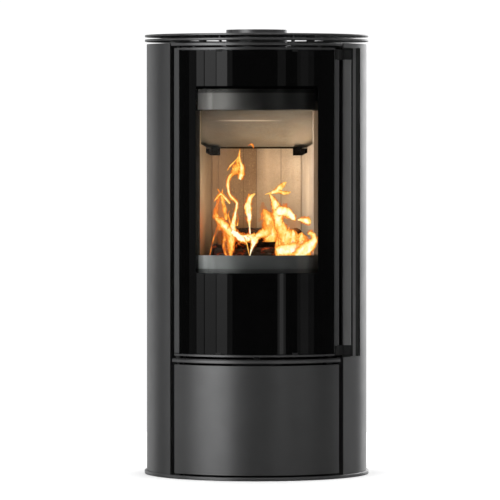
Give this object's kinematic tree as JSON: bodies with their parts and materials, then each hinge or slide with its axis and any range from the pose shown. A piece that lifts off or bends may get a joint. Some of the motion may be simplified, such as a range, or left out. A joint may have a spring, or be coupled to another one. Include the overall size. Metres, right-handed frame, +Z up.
{
  "type": "freestanding wood stove",
  "caption": "Round freestanding steel wood stove with a curved glass door, upright bar handle, lower compartment door, air control and top flue spigot.",
  "frame": {"origin": "centre of the base plate's underside, on the floor", "axes": "+Z up, the glass door faces -Y, +X is the handle side"},
  "size_m": [0.5499, 0.55, 1.087],
  "materials": {
    "casing_paint": "satin anthracite heat-proof paint with a fine grain",
    "plate_paint": "satin anthracite heat-proof paint",
    "door_paint": "satin anthracite heat-proof paint",
    "stove_black": "matt black heat-proof paint, sooted inside",
    "zinc_steel": "zinc coated sheet",
    "vermiculite": "pressed vermiculite board, speckled",
    "steel": "turned steel, dark where it shows at the hinges",
    "cast_iron": "raw cast iron",
    "door_glass": "ceramic glass, black printed border round a clear window",
    "rope_seal": "knitted glass-fibre rope, dark",
    "magnet": "black housing",
    "handle_steel": "satin anthracite paint",
    "handle_black": "satin black paint"
  },
  "bodies": {
    "stove_body": {"air_duct": "zinc_steel", "air_inlet_spigot": "zinc_steel", "airwash_deflector": "stove_black", "ash_pan": "zinc_steel", "ash_pan_shelf": "stove_black", "baffle_brackets": "stove_black", "baffle_plate": "vermiculite", "base_plate": "plate_paint", "compartment_back_wall": "zinc_steel", "compartment_left_wall": "zinc_steel", "compartment_right_wall": "zinc_steel", "convection_ring": "plate_paint", "damper_pivot": "steel", "firebox_back_wall": "stove_black", "firebox_floor": "stove_black", "firebox_left_wall": "stove_black", "firebox_right_wall": "stove_black", "firebox_top": "stove_black", "floor_bricks": "vermiculite", "flue_spigot": "stove_black", "front_frame": "door_paint", "grate": "cast_iron", "handle_recess_liner": "stove_black", "header_posts": "plate_paint", "header_ring": "plate_paint", "hinge_washers": "steel", "latch_keepers": "steel", "ledge_plate": "plate_paint", "left_side_panel": "casing_paint", "levelling_screws": "steel", "lining_back_left": "vermiculite", "lining_back_right": "vermiculite", "lining_left": "vermiculite", "lining_right": "vermiculite", "log_guard": "stove_black", "lower_hinge_pin": "steel", "magnet_catch": "magnet", "middle_hinge_pin": "steel", "rear_heat_shield": "zinc_steel", "rear_panel": "casing_paint", "rear_panel_screws": "steel", "right_side_panel": "casing_paint", "top_plate": "plate_paint", "top_spacers": "plate_paint", "top_studs": "steel", "upper_hinge_pin": "steel"},
    "glass_door": {"door_frame": "door_paint", "door_glass": "door_glass", "glass_gasket": "rope_seal", "glass_clips": "door_paint", "door_seal": "rope_seal", "handle_pivot_pins": "steel"},
    "door_handle": {"handle_bar": "handle_steel", "lower_handle_arm": "handle_black", "upper_handle_arm": "handle_black", "latch_hooks": "steel"},
    "lower_door": {"lower_door_panel": "casing_paint", "lower_door_hinge_blocks": "steel", "catch_strike": "steel"},
    "air_control": {"air_damper": "steel"}
  },
  "joints": [
    {"name": "door_hinge", "type": "hinge", "parent": "stove_body", "child": "glass_door", "pos_m": [-0.18719, -0.18331, 0.668], "axis": [0, 0, -1], "range_deg": [0, 105]},
    {"name": "handle_swing", "type": "hinge", "parent": "glass_door", "child": "door_handle", "pos_m": [0.18942, -0.18101, 0.668], "axis": [0, 0, -1], "range_deg": [0, 25]},
    {"name": "lower_door_hinge", "type": "hinge", "parent": "stove_body", "child": "lower_door", "pos_m": [-0.18719, -0.18331, 0.144], "axis": [0, 0, -1], "range_deg": [0, 105]},
    {"name": "air_control_swing", "type": "hinge", "parent": "stove_body", "child": "air_control", "pos_m": [0, -0.1, 0.293], "axis": [0, 0, 1], "range_deg": [-20, 20]}
  ]
}
